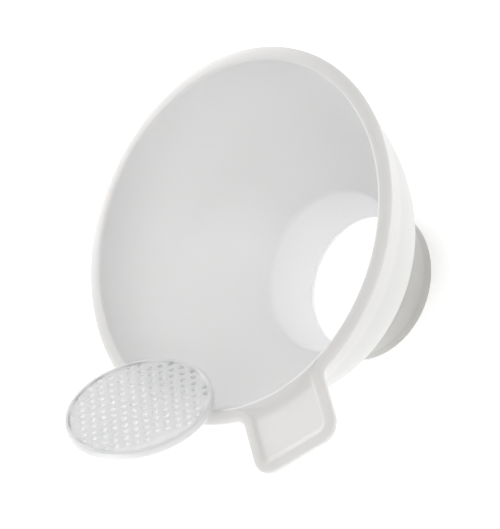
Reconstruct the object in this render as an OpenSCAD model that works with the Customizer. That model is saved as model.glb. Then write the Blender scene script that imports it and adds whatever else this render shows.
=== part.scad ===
// Wide-neck funnel with a finger tab and a loose perforated strainer disc.
// The funnel stands on the flat end of its spout, mouth up, with its axis on Z
// and its tab pointing along +X. The origin is the centre of the spout's end.

/* [Bowl] */
// Outside diameter of the rim, across the lip
rim_d = 140; // [130:1:160]
// Height of the lip's widest line above the spout's end
rim_z = 78.5; // [74:0.5:90]
// Width of the lip, from its inner edge to its outer edge
lip_w = 5.5; // [4.5:0.1:8]
// How far the crest at the lip's inner edge stands above its widest line
lip_crest = 1; // [0.4:0.1:1.5]
// Slope of the bowl's outside just under the lip, measured from the axis
wall_angle = 21.6; // [18:0.1:26]
// Slope of the bowl's outside where it meets the spout, measured from the axis
floor_angle = 48; // [40:1:58]

/* [Spout] */
// Outside diameter of the straight land at the spout's end
spout_d = 58.4; // [54:0.2:60]
// Length of the straight land that enters a jar's neck
spout_land = 5; // [3:0.5:8]
// Outside diameter of the spout where it meets the bowl
spout_top_d = 64.6; // [62:0.2:68]
// Height at which the spout meets the bowl
spout_h = 20.9; // [18:0.1:24]
// Diameter of the outlet
outlet_d = 51.8; // [48:0.2:53]
// Height of the outlet's own straight wall, below the taper that holds the strainer
outlet_h = 2; // [1:0.1:3]

/* [Finger tab] */
// Distance from the axis to the tab's end
tab_reach = 91.2; // [86:0.1:100]
// Width of the tab
tab_w = 37.2; // [30:0.2:44]
// Radius of the tab's two outer corners
tab_corner = 7.5; // [4:0.5:10]
// Radius of the fillets where the tab leaves the rim
tab_root = 3.5; // [2:0.5:5]
// Thickness of the tab at its border's crest
tab_t = 2.8; // [2:0.1:5]
// Distance from the tab's outer edge to the border's crest
border_w = 3.4; // [3:0.1:6]
// Depth of the recess
recess_depth = 1.5; // [1:0.1:2]

/* [Strainer] */
// Diameter of the strainer disc
disc_d = 54.3; // [53:0.1:54.8]
// Height of the disc's skirt
disc_h = 3.3; // [3:0.1:5]
// Thickness of the skirt
skirt_t = 1.5; // [1:0.1:3]
// Thickness of the perforated plate
plate_t = 2.2; // [1:0.1:2.8]
// Diameter of each perforation
hole_d = 2.1; // [1.2:0.1:2.4]
// Spacing of the perforations, on a square grid
hole_pitch = 3.76; // [3.2:0.02:5]
// Turn of the grid from the strainer's uphill direction
grid_turn = 50.7; // [0:0.1:90]
// Distance from the centre at which the plain side begins
plain_from = 21; // [18:0.5:24]
// Direction of the plain side, measured from the grid
plain_turn = 10; // [0:1:45]

/* [Strainer lifted out] */
// Direction from the axis to the strainer, measured from the tab
lift_azimuth = -45.9; // [-80:0.1:-35]
// Distance from the axis to the middle of the strainer's top
lift_r = 69.1; // [60:0.1:80]
// Height of the middle of the strainer's top above the spout's end
lift_z = 93.4; // [90:0.1:110]
// Tilt of the strainer towards the bowl
lift_tilt = 42.6; // [30:0.1:50]

/* [Hidden] */
$fn = 180;

curve_steps = 24;            // straight pieces that stand for one long curve
arc_steps = 6;               // straight pieces that stand for one small round
outer_lip_drop = 1.4;        // from the widest line down to the top of the bowl's outside
lip_inner_r = rim_d/2 - lip_w;
inner_lip_z = rim_z - 0.5;   // where the bowl's inside begins, under the lip's inner edge
spout_wall_top = 2;          // wall of the spout where it meets the bowl
outlet_step = 0.3;           // width of the step above the outlet
outer_reach = [36.1, 30.5];  // handle lengths of the bowl's outer curve
inner_reach = [29.1, 22.4];  // handle lengths of the bowl's inner curve
inner_wall_angle = 9.6;      // slope of the bowl's inside just under the lip
inner_floor_angle = 50.2;    // slope of the bowl's inside where it meets the spout
entry_r = spout_top_d/2 - spout_wall_top + 0.7;
entry_z = spout_h + 2;
tab_top = 0.4;               // height of the border's crest above the rim's widest line
slope_w = 2.6;               // width of the slope from the border's crest down to the recess
border_edge = 0.9;           // from the border's crest down to its outer edge
hole_field_r = disc_d/2 - skirt_t - hole_d/2;  // furthest perforation from the centre
hole_count = floor(disc_d/hole_pitch);
eps = 0.01;

// A step of length d down the wall of a body of revolution, at an angle from its axis
function down_wall(angle, d) = [-d*sin(angle), -d*cos(angle)];

// Points along a cubic curve from a to d with the handles b and c
function curve(a, b, c, d, steps) = [
    for (i = [0:steps]) let (t = i/steps, s = 1 - t)
        s*s*s*a + 3*s*s*t*b + 3*s*t*t*c + t*t*t*d
];

// The bowl's wall between two points, leaving each at its own slope
function wall_curve(top, bottom, top_angle, bottom_angle, reach) = curve(
    top,
    top + down_wall(top_angle, reach[0]),
    bottom - down_wall(bottom_angle, reach[1]),
    bottom,
    curve_steps
);

// Half of the moulding's section: radius and height, outside first
function funnel_section() = concat(
    [[outlet_d/2, 0], [spout_d/2 - 0.4, 0], [spout_d/2, 0.4], [spout_d/2, spout_land]],
    reversed(wall_curve(
        [rim_d/2 - 0.85, rim_z - outer_lip_drop],
        [spout_top_d/2, spout_h],
        wall_angle, floor_angle, outer_reach)),
    lip_top(),
    wall_curve(
        [lip_inner_r, inner_lip_z],
        [entry_r, entry_z],
        inner_wall_angle, inner_floor_angle, inner_reach),
    [[entry_r - 0.9, entry_z - 2.3], [outlet_d/2 + outlet_step, outlet_h], [outlet_d/2, outlet_h]]
);

// The lip from its outer edge up to the crest at its inner edge
function lip_top() = concat(
    curve(
        [rim_d/2 - 0.3, rim_z - 0.9], [rim_d/2, rim_z - 0.6],
        [rim_d/2, rim_z - 0.1], [rim_d/2 - 0.4, rim_z + 0.15], arc_steps),
    curve(
        [rim_d/2 - 0.8, rim_z + 0.3], [rim_d/2 - 1.9, rim_z + 0.7],
        [lip_inner_r + 2.2, rim_z + 0.95], [lip_inner_r + 0.9, rim_z + lip_crest], arc_steps),
    curve(
        [lip_inner_r + 0.6, rim_z + lip_crest], [lip_inner_r + 0.3, rim_z + lip_crest],
        [lip_inner_r, rim_z + 0.7], [lip_inner_r, rim_z + 0.3], arc_steps)
);

function reversed(points) = [for (i = [len(points) - 1:-1:0]) points[i]];

// Section of the border: its outer edge is on x = 0 and its underside on y = 0
module border_section() polygon(concat(
    [[0, 0.5], [0.5, 0], [border_w + slope_w + 0.2, 0], [border_w + slope_w + 0.2, tab_t - recess_depth]],
    curve([border_w + slope_w, tab_t - recess_depth], [border_w + 0.5*slope_w, tab_t - recess_depth],
        [border_w + 0.4*slope_w, tab_t], [border_w, tab_t], arc_steps),
    curve([border_w - 0.4, tab_t], [0.5*border_w, tab_t - 0.1],
        [0.3, tab_t - 0.6], [0, tab_t - border_edge], arc_steps)
));

// The raised border along one side of the tab, round its corner and along half its end
module half_border() {
    corner_x = tab_reach - tab_corner;
    corner_y = tab_w/2 - tab_corner;
    translate([rim_d/2 - 8, tab_w/2, 0]) rotate([90, 0, 90])
        linear_extrude(corner_x - rim_d/2 + 8) mirror([1, 0]) border_section();
    translate([corner_x, corner_y, 0]) rotate_extrude(angle = 90)
        translate([tab_corner, 0]) mirror([1, 0]) border_section();
    translate([tab_reach, corner_y, 0]) rotate([90, 0, 0])
        linear_extrude(corner_y + eps) mirror([1, 0]) border_section();
}

// The sunk floor inside the border
module tab_floor() linear_extrude(tab_t - recess_depth)
    translate([rim_d/2 - 8, border_w - tab_w/2])
        square([tab_reach - rim_d/2 + 8 - border_w, tab_w - 2*border_w]);

// The concave round between the rim and one side of the tab
module root_fillet() {
    fillet_x = sqrt(pow(rim_d/2 + tab_root, 2) - pow(tab_w/2 + tab_root, 2));
    root_x = rim_d/2 - 12;
    linear_extrude(tab_t - border_edge) difference() {
        translate([root_x, tab_w/2 - 1]) square([fillet_x - root_x, tab_root + 1]);
        translate([fillet_x, tab_w/2 + tab_root]) circle(r = tab_root);
    }
}

module finger_tab() translate([0, 0, rim_z + tab_top - tab_t]) difference() {
    union() {
        tab_floor();
        for (side = [0, 1]) mirror([0, side, 0]) {
            half_border();
            root_fillet();
        }
    }
    translate([0, 0, -1]) cylinder(r = lip_inner_r + 1.5, h = tab_t + 2);
}

// One moulding: bowl, lip, spout and finger tab
module funnel() color("whitesmoke") {
    rotate_extrude() polygon(funnel_section());
    finger_tab();
}

// Whether a point of the grid is inside the ring of perforations and off the plain side
function perforated(x, y) = norm([x, y]) < hole_field_r
    && x*cos(plain_turn) + y*sin(plain_turn) < plain_from;

// The strainer standing flat on its own skirt, centred on Z
module strainer_disc() difference() {
    rotate_extrude() polygon([
        [0, disc_h - plate_t],
        [disc_d/2 - skirt_t, disc_h - plate_t],
        [disc_d/2 - skirt_t, 0],
        [disc_d/2 - 0.4, 0],
        [disc_d/2, 0.4],
        [disc_d/2, disc_h - 0.4],
        [disc_d/2 - 0.4, disc_h],
        [0, disc_h]
    ]);
    rotate([0, 0, grid_turn]) for (i = [-hole_count:hole_count], j = [-hole_count:hole_count]) {
        x = (i + 0.5)*hole_pitch;
        y = (j + 0.5)*hole_pitch;
        if (perforated(x, y))
            translate([x, y, -1]) cylinder(d = hole_d, h = disc_h + 2, $fn = 24);
    }
}

// The strainer where it lies when it has been lifted out over the rim
module strainer() color("aliceblue")
    rotate([0, 0, lift_azimuth])
    translate([lift_r, 0, lift_z])
    rotate([0, -lift_tilt, 0])
    translate([0, 0, -disc_h])
        strainer_disc();

funnel();
strainer();
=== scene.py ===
"""A wide-neck funnel with a finger tab, and its loose strainer disc lying tilted over the rim.

Lengths in the shape code are in millimetres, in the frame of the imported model: the origin is the
centre of the spout's end, Z is the funnel's axis and the tab points along +X. Meshes are scaled to
metres as they are made.
"""
import math

import bmesh
import bpy
import numpy as np
from mathutils import Matrix, Vector
from mathutils.geometry import delaunay_2d_cdt


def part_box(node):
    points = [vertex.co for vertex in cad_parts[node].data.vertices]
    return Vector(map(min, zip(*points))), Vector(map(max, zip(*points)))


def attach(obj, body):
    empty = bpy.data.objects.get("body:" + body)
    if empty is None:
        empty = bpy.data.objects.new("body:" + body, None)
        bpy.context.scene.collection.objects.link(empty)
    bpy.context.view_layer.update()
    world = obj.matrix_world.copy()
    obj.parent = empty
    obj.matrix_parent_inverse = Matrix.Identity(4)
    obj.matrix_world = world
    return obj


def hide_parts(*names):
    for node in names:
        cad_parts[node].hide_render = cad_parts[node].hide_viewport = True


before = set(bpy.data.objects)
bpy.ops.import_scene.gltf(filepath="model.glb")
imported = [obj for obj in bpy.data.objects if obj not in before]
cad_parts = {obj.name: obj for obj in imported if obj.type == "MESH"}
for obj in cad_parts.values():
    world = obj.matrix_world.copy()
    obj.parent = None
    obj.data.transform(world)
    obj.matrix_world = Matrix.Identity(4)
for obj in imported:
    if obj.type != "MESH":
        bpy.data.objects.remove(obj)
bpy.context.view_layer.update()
MM = 0.001


def frame_sizes():
    """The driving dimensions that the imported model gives, in millimetres."""
    low, high = (np.array(corner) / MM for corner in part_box("funnel"))
    return {"rim_r": -low[1], "tab_reach": high[0], "top": high[2]}


SIZES = frame_sizes()

# The moulding
RIM_R = SIZES["rim_r"]
CREST_Z = SIZES["top"]
LIP_CREST = 1.0
RIM_Z = CREST_Z - LIP_CREST
LIP_W = 5.5
CREST_IN = 4.6
WALL_TOP = (0.85, -1.4)
WALL_ANGLE, FLOOR_ANGLE = 21.6, 48
OUTER_REACH = (36.1, 30.5)
INNER_ANGLE, INNER_FLOOR_ANGLE = 9.6, 50.2
INNER_REACH = (29.1, 22.4)
SPOUT_R = 29.2
SPOUT_LAND = 5
SPOUT_TOP_R = 32.3
SPOUT_H = 20.9
OUTLET_R = 25.9
OUTLET_H = 2
TAPER_R = 26.2
ENTRY = (31.0, 22.9)
SPOUT_INNER_TOP = (30.1, 20.6)

# The finger tab
TAB_REACH = SIZES["tab_reach"]
TAB_HALF_W = 18.6
TAB_CORNER = 7.5
TAB_ROOT = 3.5
TAB_TOP = 0.4
TAB_T = 2.8
BORDER_CREST_IN = 3.4
BORDER_SLOPE_W = 2.6
RECESS_DEPTH = 1.5

# The strainer
DISC_R = 27.12
DISC_H = 3.3
SKIRT_T = 1.5
PLATE_T = 1.9
PLATE_DROP = 0.3
HOLE_R = 1.0
HOLE_ROUND = 0.3
HOLE_PITCH = 3.76
GRID_TURN = 50.7
PLAIN_FROM = 21
PLAIN_TURN = 10
LIFT_AZIMUTH = -45.9
LIFT_R = 69.1
LIFT_Z = 93.4
LIFT_TILT = 42.6


# ---------------------------------------------------------------- shape helpers

def bezier(a, b, c, d, steps):
    """Points along a cubic curve from a to d with the handles b and c."""
    t = np.linspace(0, 1, steps + 1)[:, None]
    a, b, c, d = (np.array(p, float) for p in (a, b, c, d))
    s = 1 - t
    return s**3 * a + 3 * s * s * t * b + 3 * s * t * t * c + t**3 * d


def down_wall(angle, length):
    """A step down the wall of a body of revolution, at an angle from its axis."""
    a = math.radians(angle)
    return np.array([-length * math.sin(a), -length * math.cos(a)])


def wall_curve(top, bottom, top_angle, bottom_angle, reach, steps):
    top, bottom = np.array(top, float), np.array(bottom, float)
    return bezier(top, top + down_wall(top_angle, reach[0]),
                  bottom - down_wall(bottom_angle, reach[1]), bottom, steps)


def rounded(points, radii, steps=5):
    """The open line through points, each inner corner replaced by a round of its radius."""
    points = [np.array(p, float) for p in points]
    out = [points[0]]
    for before, corner, after, r in zip(points, points[1:], points[2:], radii):
        u = (before - corner) / np.linalg.norm(before - corner)
        v = (after - corner) / np.linalg.norm(after - corner)
        half = math.acos(np.clip(u @ v, -1, 1)) / 2
        cut = min(r / math.tan(half), 0.48 * np.linalg.norm(before - corner),
                  0.48 * np.linalg.norm(after - corner))
        out.extend(bezier(corner + u * cut, corner + u * cut * 0.45,
                          corner + v * cut * 0.45, corner + v * cut, steps))
    out.append(points[-1])
    return np.array(out)


def smooth_step(x):
    x = np.clip(x, 0, 1)
    return x * x * (3 - 2 * x)


def grid_faces(rows, columns, closed=False, start=0):
    """Quads between rows of vertices laid out one row after another."""
    last = columns if closed else columns - 1
    return [(start + i * columns + j, start + i * columns + (j + 1) % columns,
             start + (i + 1) * columns + (j + 1) % columns, start + (i + 1) * columns + j)
            for i in range(rows - 1) for j in range(last)]


class Parts:
    """Collects pieces of surface that share edges, and welds them into one mesh."""

    def __init__(self):
        self.points, self.faces = [], []

    def add(self, points, faces):
        start = len(self.points)
        self.points.extend(np.asarray(points, float).tolist())
        self.faces.extend(tuple(start + i for i in face) for face in faces)

    def add_grid(self, rows, closed=False):
        """Rows of equal length, as an array of rows by columns by three."""
        rows = np.asarray(rows, float)
        self.add(rows.reshape(-1, 3), grid_faces(rows.shape[0], rows.shape[1], closed))

    def build(self, name):
        mesh = bpy.data.meshes.new(name)
        bm = bmesh.new()
        verts = [bm.verts.new(Vector(p) * MM) for p in self.points]
        for face in self.faces:
            if len(set(face)) > 2:
                bm.faces.new([verts[i] for i in face])
        bmesh.ops.remove_doubles(bm, verts=bm.verts, dist=4e-6)
        bmesh.ops.dissolve_degenerate(bm, edges=bm.edges, dist=1e-7)
        bmesh.ops.recalc_face_normals(bm, faces=bm.faces)
        bm.to_mesh(mesh)
        bm.free()
        mesh.polygons.foreach_set("use_smooth", [True] * len(mesh.polygons))
        obj = bpy.data.objects.new(name, mesh)
        bpy.context.scene.collection.objects.link(obj)
        return obj


# ---------------------------------------------------------------- the moulding

# Numbers of steps in the moulding's mesh
SECTOR_COLUMNS = 112
REST_COLUMNS = 320
ROOT_STATIONS, SIDE_STATIONS, CORNER_STATIONS = 16, 14, 14
FINE_STEPS = 400
OUTER_ROWS = 46
INNER_STEPS = 44
RECESS_RINGS = 46
UNDERSIDE_ROWS = 13


def lip_section():
    """The lip outside its crest: distance in from the outline and height above the rim's line."""
    edge = bezier(WALL_TOP, (0.35, -0.95), (0, -0.7), (0, -0.35), 5)
    shoulder = bezier((0, -0.35), (0, -0.05), (0.2, 0.08), (0.5, 0.2), 5)
    slope = bezier((0.5, 0.2), (1.6, 0.62), (2.4, LIP_CREST - 0.12), (CREST_IN, LIP_CREST), 8)
    return np.vstack([edge, shoulder[1:], slope[1:]])


def border_section():
    """The tab's border outside its crest, in the same steps as the lip's."""
    low = TAB_TOP - TAB_T
    edge = bezier((0.6, low), (0.25, low), (0, low + 0.2), (0, low + 0.5), 5)
    side = bezier((0, low + 0.5), (0, low + 0.8), (0, low + 1.2), (0, TAB_TOP - 1.1), 5)
    crest = bezier((0, TAB_TOP - 1.1), (0, TAB_TOP - 0.5), (1.2, TAB_TOP - 0.1),
                   (BORDER_CREST_IN, TAB_TOP), 8)
    return np.vstack([edge, side[1:], crest[1:]])


def fillet_centre():
    y = TAB_HALF_W + TAB_ROOT
    return np.array([math.sqrt((RIM_R + TAB_ROOT) ** 2 - y * y), y])


def tab_stations():
    """Places along the tab's outline, from the rim round the tab to the rim again.

    Each has its point, its inward direction, and its share of the tab's own section."""
    centre = fillet_centre()
    start = math.atan2(-centre[1], -centre[0]) + 2 * math.pi
    half = []
    n_root, n_side, n_corner = ROOT_STATIONS, SIDE_STATIONS, CORNER_STATIONS
    n_end = SECTOR_COLUMNS // 2 - n_root - n_side - n_corner
    for i in range(n_root):
        a = start + (1.5 * math.pi - start) * i / n_root
        inward = np.array([math.cos(a), math.sin(a)])
        half.append((centre + TAB_ROOT * inward, inward, 0.75 * i / n_root))
    x0, x1 = centre[0], TAB_REACH - TAB_CORNER
    for i in range(n_side):
        x = x0 + (x1 - x0) * i / n_side
        half.append((np.array([x, TAB_HALF_W]), np.array([0.0, -1.0]), 0.75 + 0.25 * (x - x0) / 3))
    for i in range(n_corner):
        a = 0.5 * math.pi * (1 - i / n_corner)
        out = np.array([math.cos(a), math.sin(a)])
        half.append((np.array([x1, TAB_HALF_W - TAB_CORNER]) + TAB_CORNER * out, -out, 1))
    for i in range(n_end + 1):
        y = (TAB_HALF_W - TAB_CORNER) * (1 - i / n_end)
        half.append((np.array([TAB_REACH, y]), np.array([-1.0, 0.0]), 1))
    mirror = np.array([1, -1])
    other = [(p * mirror, n * mirror, s) for p, n, s in half[-2::-1]]
    return [(p, n, float(smooth_step(s))) for p, n, s in half + other]


def sector_angles():
    """Column angles across the tab's root, from its +Y side to its -Y side."""
    edge = math.atan2(*fillet_centre()[::-1])
    return np.linspace(edge, -edge, SECTOR_COLUMNS + 1)


def rest_angles():
    edge = math.atan2(*fillet_centre()[::-1])
    return np.linspace(-edge, edge - 2 * math.pi, REST_COLUMNS + 1)


def inner_section():
    """From the lip's crest down the inside, through the spout and round to the foot of the bowl."""
    crest_r = RIM_R - CREST_IN
    edge_r = RIM_R - LIP_W
    round_over = bezier((crest_r, CREST_Z), (crest_r - 0.45, CREST_Z), (edge_r + 0.15, CREST_Z - 0.1),
                        (edge_r + 0.06, CREST_Z - 0.6), 8)
    bowl = wall_curve((edge_r, RIM_Z - 0.5), ENTRY, INNER_ANGLE, INNER_FLOOR_ANGLE, INNER_REACH,
                      INNER_STEPS)
    spout = rounded(
        [bowl[-4], ENTRY, SPOUT_INNER_TOP, (TAPER_R, OUTLET_H), (OUTLET_R, OUTLET_H), (OUTLET_R, 0),
         (SPOUT_R, 0), (SPOUT_R, SPOUT_LAND), (SPOUT_TOP_R, SPOUT_H)],
        [1.6, 3, 0.15, 0.15, 0.4, 0.5, 6])
    return np.vstack([round_over, bowl[:-4], spout[:-1]])


def outer_curve():
    """The bowl's outside, finely stepped, from its foot up to its top."""
    top = (RIM_R - WALL_TOP[0], RIM_Z + WALL_TOP[1])
    return wall_curve(top, (SPOUT_TOP_R, SPOUT_H), WALL_ANGLE, FLOOR_ANGLE, OUTER_REACH,
                      FINE_STEPS)[::-1]


def outer_wall(t_top):
    """The bowl's outside from its foot up to the share t_top of the way to its top."""
    curve = outer_curve()
    share = np.linspace(0, t_top, OUTER_ROWS)
    at = np.arange(FINE_STEPS + 1) / FINE_STEPS
    return np.column_stack([np.interp(share, at, curve[:, k]) for k in (0, 1)])


def wall_share_at(z):
    """How far up the outside of the bowl the height z lies."""
    return float(np.interp(z, outer_curve()[:, 1], np.arange(FINE_STEPS + 1) / FINE_STEPS))


def turned(section, angle):
    """A section of radius and height, turned to an angle about the axis."""
    section = np.asarray(section, float)
    radius, height = section[:, 0], section[:, 1]
    return np.column_stack([radius * math.cos(angle), radius * math.sin(angle), height])


def recess_points(crest_ring, crest_arc):
    """The tab's sunk floor with the slopes round it, as rings from its edge to its middle."""
    edge = np.vstack([crest_ring, crest_arc[::-1][1:-1]])
    middle = np.array([RIM_R + 2.5, 0.0])
    shares = 1 - np.linspace(0, 1, RECESS_RINGS)[:-1] ** 1.35
    rings = middle + (edge[:, :2] - middle) * shares[:, None, None]
    flat = rings.reshape(-1, 2)
    start, end = crest_ring[:-1, :2], crest_ring[1:, :2]
    along = end - start
    share = np.clip(((flat[:, None] - start) * along).sum(2) / (along**2).sum(1), 0, 1)
    away = np.linalg.norm(start + along * share[..., None] - flat[:, None], axis=2)
    nearest = away.argmin(1)
    border_top = crest_ring[nearest, 2]
    floor = RIM_Z + TAB_TOP - RECESS_DEPTH
    fall = np.clip(away.min(1) / BORDER_SLOPE_W, 0, 1)
    border = (border_top - floor) * 0.5 * (1 + np.cos(math.pi * fall))
    section = lip_section()[::-1]
    p = np.linalg.norm(flat, axis=1) - (RIM_R - CREST_IN)
    lip_at = np.array([0, 1, 2.3, 3.1, 4.0, 4.8, 5.5, 6.2])
    lip_fall = RIM_Z - floor + np.array([1.0, 0.95, 0.74, 0.47, 0.0, -0.55, -0.95, -1.1])
    lip = np.interp(p, lip_at, lip_fall)
    soft = 0.5
    blend = np.clip(soft - np.abs(border - lip), 0, None)
    height = floor + np.maximum(border, lip) + blend**2 / (4 * soft)
    points = np.column_stack([flat, height]).reshape(len(shares), len(edge), 3)
    points[0] = edge
    return points, np.array([middle[0], middle[1], floor])


def add_tab(parts, columns):
    """The tab's border, recess and underside, welded to the columns across its root."""
    lip, border = lip_section(), border_section()
    rows = []
    for point, inward, share in tab_stations():
        section = lip + (border - lip) * share
        xy = point + inward * section[:, :1]
        rows.append(np.column_stack([xy, RIM_Z + section[:, 1]]))
    rows = np.array(rows)
    parts.add_grid(rows)
    crest_ring = rows[:, -1]
    crest_arc = np.array([column[0] for column in columns])
    points, middle = recess_points(crest_ring, crest_arc)
    parts.add_grid(points, closed=True)
    last = points[-1]
    n = len(last)
    parts.add(np.vstack([last, middle]), [(i, (i + 1) % n, n) for i in range(n)])
    wall_top = np.array([column[-1] for column in columns])
    share = np.linspace(0, 1, UNDERSIDE_ROWS)[:, None, None]
    parts.add_grid(wall_top * (1 - share) + rows[:, 0] * share)


def make_funnel():
    parts = Parts()
    inside = inner_section()
    columns = []
    for angle, (_, _, share) in zip(sector_angles(), tab_stations()):
        join = RIM_Z + WALL_TOP[1] + (TAB_TOP - TAB_T - WALL_TOP[1]) * share
        section = np.vstack([inside, outer_wall(wall_share_at(join))])
        columns.append(turned(section, angle))
    parts.add_grid(columns)
    lip = lip_section()[1:]
    outside = np.column_stack([RIM_R - lip[:, 0], RIM_Z + lip[:, 1]])
    section = np.vstack([inside, outer_wall(1.0), outside])
    parts.add_grid([turned(section, angle) for angle in rest_angles()])
    add_tab(parts, columns)
    return parts.build("funnel_moulding")


# ---------------------------------------------------------------- the strainer

HOLE_SIDES = 20


def hole_centres():
    """The square grid of perforations inside the skirt, less the plain side."""
    reach = DISC_R - SKIRT_T - HOLE_R - 0.05
    turn, plain = math.radians(GRID_TURN), math.radians(PLAIN_TURN)
    count = int(DISC_R / HOLE_PITCH) + 1
    found = []
    for i in range(-count, count + 1):
        for j in range(-count, count + 1):
            x, y = (i + 0.5) * HOLE_PITCH, (j + 0.5) * HOLE_PITCH
            if math.hypot(x, y) < reach and x * math.cos(plain) + y * math.sin(plain) < PLAIN_FROM:
                found.append((x * math.cos(turn) - y * math.sin(turn),
                              x * math.sin(turn) + y * math.cos(turn)))
    return found


def circle(r, sides, centre=(0, 0)):
    a = np.arange(sides) * 2 * math.pi / sides
    return np.column_stack([centre[0] + r * np.cos(a), centre[1] + r * np.sin(a)])


def plate_face(parts, z, hole_r, edge):
    """One flat face of the perforated plate, between its edge circle and its holes."""
    loops = [edge] + [circle(hole_r, HOLE_SIDES, c) for c in hole_centres()]
    points, edges = [], []
    for loop in loops:
        start = len(points)
        points.extend(Vector(p) for p in loop)
        edges.extend((start + i, start + (i + 1) % len(loop)) for i in range(len(loop)))
    verts, _, faces, *_ = delaunay_2d_cdt(points, edges, [], 0, 1e-6)
    xy = np.array([[v.x, v.y] for v in verts])
    centres = np.array(hole_centres())
    keep = []
    for face in faces:
        mid = xy[list(face)].mean(0)
        if np.linalg.norm(centres - mid, axis=1).min() > hole_r * 0.97:
            keep.append(tuple(face))
    parts.add(np.column_stack([xy, np.full(len(xy), z)]), keep)


def lift_matrix():
    """From the strainer's own frame, standing flat at the origin, to its lifted place."""
    lift = Matrix.Translation(Vector((LIFT_R, 0, LIFT_Z)))
    tilt = Matrix.Rotation(math.radians(-LIFT_TILT), 4, "Y")
    down = Matrix.Translation(Vector((0, 0, -DISC_H)))
    return Matrix.Rotation(math.radians(LIFT_AZIMUTH), 4, "Z") @ lift @ tilt @ down


def make_strainer():
    parts = Parts()
    sides = 180
    top, bottom = DISC_H - PLATE_DROP, DISC_H - PLATE_DROP - PLATE_T
    inner = DISC_R - SKIRT_T
    rim = rounded(
        [(inner - 0.35, top), (inner + 0.15, DISC_H), (DISC_R, DISC_H), (DISC_R, 0), (inner, 0),
         (inner, bottom)],
        [0.5, 0.6, 0.5, 0.4], steps=5)
    a = np.arange(sides) * 2 * math.pi / sides
    parts.add_grid([np.column_stack([r * np.cos(a), r * np.sin(a), np.full(sides, z)]) for r, z in rim],
                   closed=True)
    mouth = HOLE_R + HOLE_ROUND
    plate_face(parts, top, mouth + 0.1, circle(inner - 0.35, sides))
    plate_face(parts, bottom, mouth + 0.1, circle(inner, sides))
    wall = rounded([(mouth + 0.1, top), (HOLE_R, top), (HOLE_R, bottom), (mouth + 0.1, bottom)],
                   [HOLE_ROUND, HOLE_ROUND], steps=4)
    for centre in hole_centres():
        parts.add_grid([np.column_stack([circle(r, HOLE_SIDES, centre), np.full(HOLE_SIDES, z)])
                        for r, z in wall], closed=True)
    matrix = lift_matrix()
    parts.points = [tuple(matrix @ Vector(p)) for p in parts.points]
    return parts.build("strainer_disc")


# ---------------------------------------------------------------- materials

# Painted shade: a darker, warmer tint on the thick lip and tab, standing in for less light passing
# through the thicker plastic
THICK_LIP_PAINTED_SHADE = (0.775, 0.77, 0.76)
# Painted shade: a darker tint on the outward-facing surfaces of the funnel
OUTSIDE_PAINTED_SHADE = (0.72, 0.72, 0.71)
# Painted light: a lighter tint on the inside of the spout
SPOUT_INSIDE_PAINTED_LIGHT = (0.89, 0.89, 0.9)
# Painted shade: a dark grey-brown tint on the outside of the spout
SPOUT_OUTSIDE_PAINTED_SHADE = (0.54, 0.535, 0.52)
SCATTER_COLOUR = (1.0, 0.97, 0.94)
PLASTIC_IOR = 1.49
TURNING_SHEEN = 0.8
GLOSS_VARIATION = 0.04
CLOUD_SCALE = 28.0
GRAIN_SCALE = 900.0

def node(tree, kind, **settings):
    made = tree.nodes.new(kind)
    for name, value in settings.items():
        if name in made.inputs:
            made.inputs[name].default_value = value
        else:
            setattr(made, name, value)
    return made


def ramp(tree, value, start, end):
    """A smooth rise from 0 where the value is start to 1 where it is end."""
    made = node(tree, "ShaderNodeMapRange", interpolation_type="SMOOTHSTEP")
    made.inputs["From Min"].default_value = start
    made.inputs["From Max"].default_value = end
    tree.links.new(value, made.inputs["Value"])
    return made.outputs["Result"]


def tinted(tree, colour, zone, tint):
    """The colour, changed to the tint where the zone is 1."""
    mix = node(tree, "ShaderNodeMix", data_type="RGBA")
    mix.inputs["B"].default_value = (*tint, 1)
    tree.links.new(colour, mix.inputs["A"])
    tree.links.new(zone, mix.inputs["Factor"])
    return mix.outputs["Result"]


def painted_light_zones(tree, coordinates, colour):
    """Painted light and shade by place, mixed into the base colour: darker and warmer on the thick lip
    and tab, darker on the outside, lighter inside the spout and dark grey-brown on the outside of the
    spout.

    The lip and tab tint is painted shade for less light passing through the thicker walls; the other
    tints are painted shade and painted light."""
    place = coordinates.outputs["Object"]
    flat = node(tree, "ShaderNodeVectorMath", operation="MULTIPLY")
    flat.inputs[1].default_value = (1, 1, 0)
    tree.links.new(place, flat.inputs[0])
    radius = node(tree, "ShaderNodeVectorMath", operation="LENGTH")
    tree.links.new(flat.outputs["Vector"], radius.inputs[0])
    away = node(tree, "ShaderNodeVectorMath", operation="NORMALIZE")
    tree.links.new(flat.outputs["Vector"], away.inputs[0])
    facing = node(tree, "ShaderNodeVectorMath", operation="DOT_PRODUCT")
    tree.links.new(away.outputs["Vector"], facing.inputs[0])
    tree.links.new(coordinates.outputs["Normal"], facing.inputs[1])
    height = node(tree, "ShaderNodeSeparateXYZ")
    tree.links.new(place, height.inputs[0])
    outside = ramp(tree, facing.outputs["Value"], 0, 0.1)
    lip_inner_r = RIM_R - LIP_W
    thick = ramp(tree, radius.outputs["Value"], (lip_inner_r - 0.6) * MM, (lip_inner_r + 1.2) * MM)
    spout = ramp(tree, height.outputs["Z"], (SPOUT_H + 2) * MM, (SPOUT_H - 1) * MM)
    both = node(tree, "ShaderNodeMath", operation="MULTIPLY")
    tree.links.new(outside, both.inputs[0])
    tree.links.new(spout, both.inputs[1])
    # Painted shade on the outside, the thick lip and tab and the outside of the spout; painted light
    # inside the spout
    colour = tinted(tree, colour, outside, OUTSIDE_PAINTED_SHADE)
    colour = tinted(tree, colour, thick, THICK_LIP_PAINTED_SHADE)
    colour = tinted(tree, colour, spout, SPOUT_INSIDE_PAINTED_LIGHT)
    return tinted(tree, colour, both.outputs["Value"], SPOUT_OUTSIDE_PAINTED_SHADE)


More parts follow.
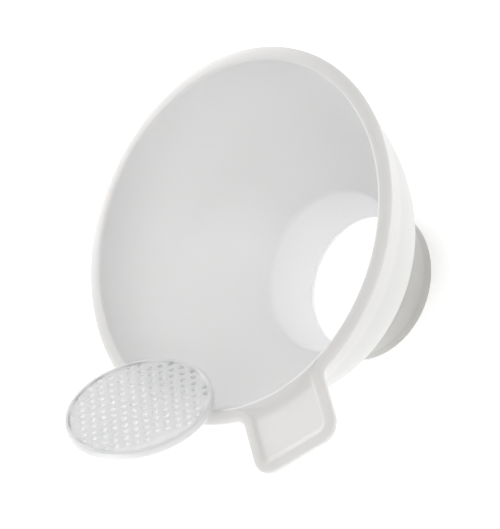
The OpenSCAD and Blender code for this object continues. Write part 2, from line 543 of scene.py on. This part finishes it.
def turning_marks(tree, coordinates, shader):
    """Gloss drawn out along circles round the strainer's middle."""
    matrix = lift_matrix()
    axis = matrix.to_3x3() @ Vector((0, 0, 1))
    centre = matrix @ Vector((0, 0, DISC_H)) * MM
    away = node(tree, "ShaderNodeVectorMath", operation="SUBTRACT")
    away.inputs[1].default_value = centre
    tree.links.new(coordinates.outputs["Object"], away.inputs[0])
    around = node(tree, "ShaderNodeVectorMath", operation="CROSS_PRODUCT")
    around.inputs[0].default_value = axis
    tree.links.new(away.outputs["Vector"], around.inputs[1])
    tree.links.new(around.outputs["Vector"], shader.inputs["Tangent"])
    shader.inputs["Anisotropic"].default_value = TURNING_SHEEN


def plastic(name, colour, shade, roughness, scatter, scatter_mm, zones=None, marks=None):
    """Moulded polypropylene: faint cloudy colour, a fine grain in the gloss, soft light inside it."""
    material = bpy.data.materials.new(name)
    material.use_nodes = True
    tree = material.node_tree
    shader = tree.nodes["Principled BSDF"]
    coordinates = node(tree, "ShaderNodeTexCoord")
    place = coordinates.outputs["Object"]
    clouds = node(tree, "ShaderNodeTexNoise", Scale=CLOUD_SCALE, Detail=3.0, Roughness=0.5)
    tree.links.new(place, clouds.inputs["Vector"])
    tint = node(tree, "ShaderNodeMix", data_type="RGBA")
    tint.inputs["A"].default_value = (*colour, 1)
    tint.inputs["B"].default_value = (*shade, 1)
    tree.links.new(clouds.outputs["Fac"], tint.inputs["Factor"])
    result = tint.outputs["Result"]
    if zones:
        result = zones(tree, coordinates, result)
    tree.links.new(result, shader.inputs["Base Color"])
    grain = node(tree, "ShaderNodeTexNoise", Scale=GRAIN_SCALE, Detail=2.0)
    tree.links.new(place, grain.inputs["Vector"])
    gloss = node(tree, "ShaderNodeMapRange")
    gloss.inputs["To Min"].default_value = roughness - GLOSS_VARIATION
    gloss.inputs["To Max"].default_value = roughness + GLOSS_VARIATION
    tree.links.new(clouds.outputs["Fac"], gloss.inputs["Value"])
    tree.links.new(gloss.outputs["Result"], shader.inputs["Roughness"])
    bump = node(tree, "ShaderNodeBump", Strength=0.04, Distance=0.0002)
    tree.links.new(grain.outputs["Fac"], bump.inputs["Height"])
    tree.links.new(bump.outputs["Normal"], shader.inputs["Normal"])
    if marks:
        marks(tree, coordinates, shader)
    shader.inputs["IOR"].default_value = PLASTIC_IOR
    shader.inputs["Subsurface Weight"].default_value = scatter
    shader.inputs["Subsurface Radius"].default_value = SCATTER_COLOUR
    shader.inputs["Subsurface Scale"].default_value = scatter_mm * MM
    return material


def dress(obj, material):
    obj.data.materials.clear()
    obj.data.materials.append(material)


# ---------------------------------------------------------------- studio

CAMERA_AIM = (10.5, -1.45, 72.8)
CAMERA_DISTANCE = 1255.2
CAMERA_AZIMUTH = 135.68
CAMERA_ELEVATION = 47.54
CAMERA_ROLL = -69.76
CAMERA_LENS = 238.45
FLOOR_HALF_SIZE = 3.0
FLOOR_GAP = 0.0002
FLOOR_ALBEDO = 0.9
FLOOR_GLOW = 0.45
LIGHT_AIM = (0, 0, 0.045)
LIGHT_DISTANCE = 1.1
LIGHT_SIZE = 0.9
SKY_STRENGTH = 0.14


def direction(azimuth, elevation):
    """From the object towards a place at that azimuth, with 0 on the -Y side, and elevation."""
    a, e = math.radians(azimuth), math.radians(elevation)
    return Vector((math.sin(a) * math.cos(e), -math.cos(a) * math.cos(e), math.sin(e)))


def make_camera():
    data = bpy.data.cameras.new("camera")
    data.lens = CAMERA_LENS
    data.sensor_width = 36
    data.clip_start, data.clip_end = 0.05, 20
    camera = bpy.data.objects.new("camera", data)
    back = direction(CAMERA_AZIMUTH, CAMERA_ELEVATION)
    level = (-back).to_track_quat("-Z", "Y").to_matrix().to_4x4()
    roll = Matrix.Rotation(math.radians(CAMERA_ROLL), 4, "Z")
    place = Vector(CAMERA_AIM) * MM + back * CAMERA_DISTANCE * MM
    camera.matrix_world = Matrix.Translation(place) @ level @ roll
    bpy.context.scene.collection.objects.link(camera)
    bpy.context.scene.camera = camera
    return camera


def make_floor():
    size = FLOOR_HALF_SIZE
    mesh = bpy.data.meshes.new("floor")
    mesh.from_pydata([(-size, -size, 0), (size, -size, 0), (size, size, 0), (-size, size, 0)], [],
                     [(0, 1, 2, 3)])
    floor = bpy.data.objects.new("floor", mesh)
    floor.location.z = -FLOOR_GAP
    bpy.context.scene.collection.objects.link(floor)
    material = bpy.data.materials.new("pale_floor")
    material.use_nodes = True
    shader = material.node_tree.nodes["Principled BSDF"]
    shader.inputs["Base Color"].default_value = (FLOOR_ALBEDO, FLOOR_ALBEDO, FLOOR_ALBEDO, 1)
    shader.inputs["Roughness"].default_value = 0.9
    shader.inputs["Emission Color"].default_value = (1, 1, 1, 1)
    shader.inputs["Emission Strength"].default_value = FLOOR_GLOW
    dress(floor, material)


def soft_light(name, towards, power):
    data = bpy.data.lights.new(name, "AREA")
    data.shape = "DISK"
    data.size = LIGHT_SIZE
    data.energy = power
    lamp = bpy.data.objects.new(name, data)
    lamp.location = Vector(LIGHT_AIM) + towards * LIGHT_DISTANCE
    lamp.rotation_mode = "QUATERNION"
    lamp.rotation_quaternion = (-towards).to_track_quat("-Z", "Y")
    bpy.context.scene.collection.objects.link(lamp)


# Each light: its direction seen from the camera as right, up and towards it, and its power in watts
LIGHTS = {
    "upper_left_front": ((-0.5, 0.6, 0.62), 2.2),
    "upper_left_back": ((-0.8, 0.5, -0.3), 6.6),
    "front": ((0, 0, 1), 1.8),
    "left_front": ((-0.7, 0, 0.7), 1.8),
    "right": ((0.6, 0.3, 0.7), 2.4),
    "lower_left": ((-0.5, -0.85, 0.1), 6.4),
}


def make_lights(camera):
    turn = camera.matrix_world.to_3x3()
    for name, (towards, power) in LIGHTS.items():
        soft_light(name, (turn @ Vector(towards)).normalized(), power)
    world = bpy.data.worlds.new("studio")
    world.use_nodes = True
    world.node_tree.nodes["Background"].inputs["Color"].default_value = (1, 1, 1, 1)
    world.node_tree.nodes["Background"].inputs["Strength"].default_value = SKY_STRENGTH
    bpy.context.scene.world = world


bpy.context.scene.view_settings.view_transform = "Standard"
camera = make_camera()
make_lights(camera)
make_floor()

funnel = make_funnel()
dress(funnel, plastic("white_polypropylene", (0.865, 0.867, 0.87), (0.84, 0.842, 0.842),
                      0.3, 0.85, 4, zones=painted_light_zones))
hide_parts("funnel")
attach(funnel, "funnel_body")

strainer = make_strainer()
dress(strainer, plastic("clear_white_polypropylene", (0.86, 0.862, 0.865), (0.83, 0.832, 0.835),
                        0.26, 0.5, 3, marks=turning_marks))
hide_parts("strainer")
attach(strainer, "strainer_body")
